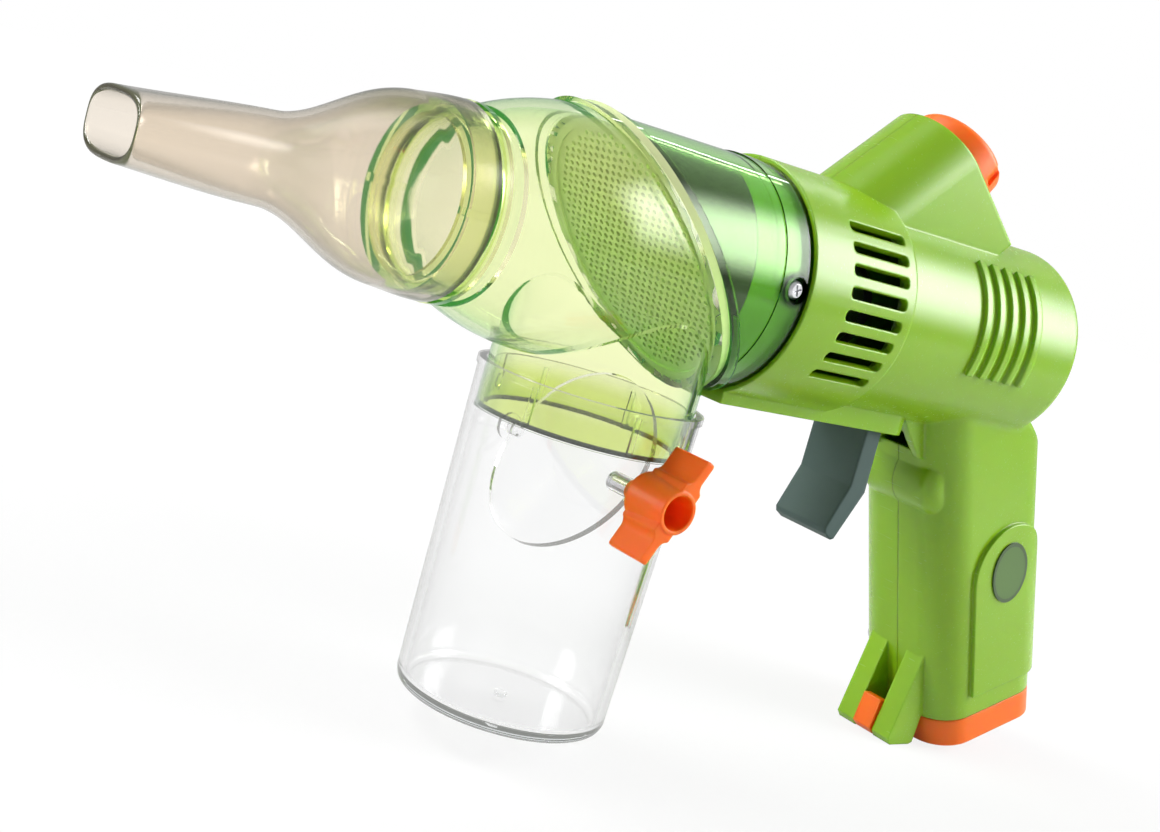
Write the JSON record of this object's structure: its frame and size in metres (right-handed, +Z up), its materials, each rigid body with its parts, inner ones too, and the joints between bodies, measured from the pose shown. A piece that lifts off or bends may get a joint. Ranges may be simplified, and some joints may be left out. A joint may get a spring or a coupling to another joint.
{
  "type": "insect aspirator",
  "caption": "Pistol-shaped insect aspirator: clear nozzle, perforated screen and jar with a turning flap, ahead of a fan drum and a raked grip with trigger, dial and battery door.",
  "frame": {"origin": "centre of the flat base of the collecting jar", "axes": "+X along the barrel from the nozzle to the rear, +Z up, +Y to the right of someone who holds the grip and looks along the barrel to the nozzle; mid-plane y = 0"},
  "size_m": [0.3284, 0.0695, 0.1751],
  "materials": {
    "lime_plastic": "satin moulded lime green plastic",
    "clear_green_plastic": "transparent pale green plastic",
    "screen_plastic": "transparent green plastic, perforated",
    "smoke_plastic": "transparent warm grey plastic",
    "clear_plastic": "clear water-white plastic",
    "orange_plastic": "satin orange plastic",
    "grey_plastic": "satin slate grey plastic",
    "dark_plastic": "dark plastic",
    "steel": "zinc-plated steel",
    "cell_jacket": "printed battery jacket, plain",
    "badge": "plain grey-green inlay"
  },
  "bodies": {
    "housing": {"housing_left": "lime_plastic", "housing_right": "lime_plastic", "housing_screws": "steel", "suction_chamber": "clear_green_plastic", "rear_sleeve": "clear_green_plastic", "insect_screen": "screen_plastic", "sleeve_screws": "steel", "fan_shroud": "dark_plastic", "motor_mount": "dark_plastic", "motor_can": "steel", "motor_end_cap": "dark_plastic", "motor_screws": "steel", "trigger_switch": "dark_plastic", "dial_switch": "dark_plastic", "cell_front_left": "cell_jacket", "cell_front_right": "cell_jacket", "cell_rear_left": "cell_jacket", "cell_rear_right": "cell_jacket", "contact_plates": "steel", "badge_inlay": "badge", "trigger_spring": "steel"},
    "nozzle": {"nozzle": "smoke_plastic"},
    "jar": {"collecting_jar": "clear_plastic"},
    "flap": {"flap_disc": "clear_plastic", "flap_screw": "steel", "wing_knob": "orange_plastic"},
    "trigger": {"trigger": "grey_plastic"},
    "dial": {"selector_dial": "orange_plastic"},
    "fan": {"impeller": "dark_plastic", "motor_shaft": "steel"},
    "door": {"battery_door": "orange_plastic", "door_contacts": "steel"}
  },
  "joints": [
    {"name": "nozzle_pull", "type": "slide", "parent": "housing", "child": "nozzle", "axis": [-1, 0, 0], "range_m": [0, 0.02]},
    {"name": "jar_pull", "type": "slide", "parent": "housing", "child": "jar", "axis": [0, 0, -1], "range_m": [0, 0.03]},
    {"name": "flap_turn", "type": "hinge", "parent": "jar", "child": "flap", "pos_m": [0, 0, 0.0623], "axis": [0, 1, 0], "range_deg": [-25, 64]},
    {"name": "trigger_pull", "type": "slide", "parent": "housing", "child": "trigger", "axis": [1, 0, 0], "range_m": [0, 0.005], "stiffness_N_per_m": 300, "springref_m": -0.006, "deforming": ["trigger_spring"]},
    {"name": "dial_turn", "type": "hinge", "parent": "housing", "child": "dial", "pos_m": [0.09689, 0, 0.15417], "axis": [0.5736, 0, 0.8192], "range_deg": [0, 60]},
    {"name": "fan_spin", "type": "hinge", "parent": "housing", "child": "fan", "pos_m": [0.035, 0, 0.1133], "axis": [1, 0, 0], "continuous": true},
    {"name": "door_swing", "type": "hinge", "parent": "housing", "child": "door", "pos_m": [0.19616, 0, 0.01665], "axis": [0, -1, 0], "range_deg": [0, 100]}
  ]
}
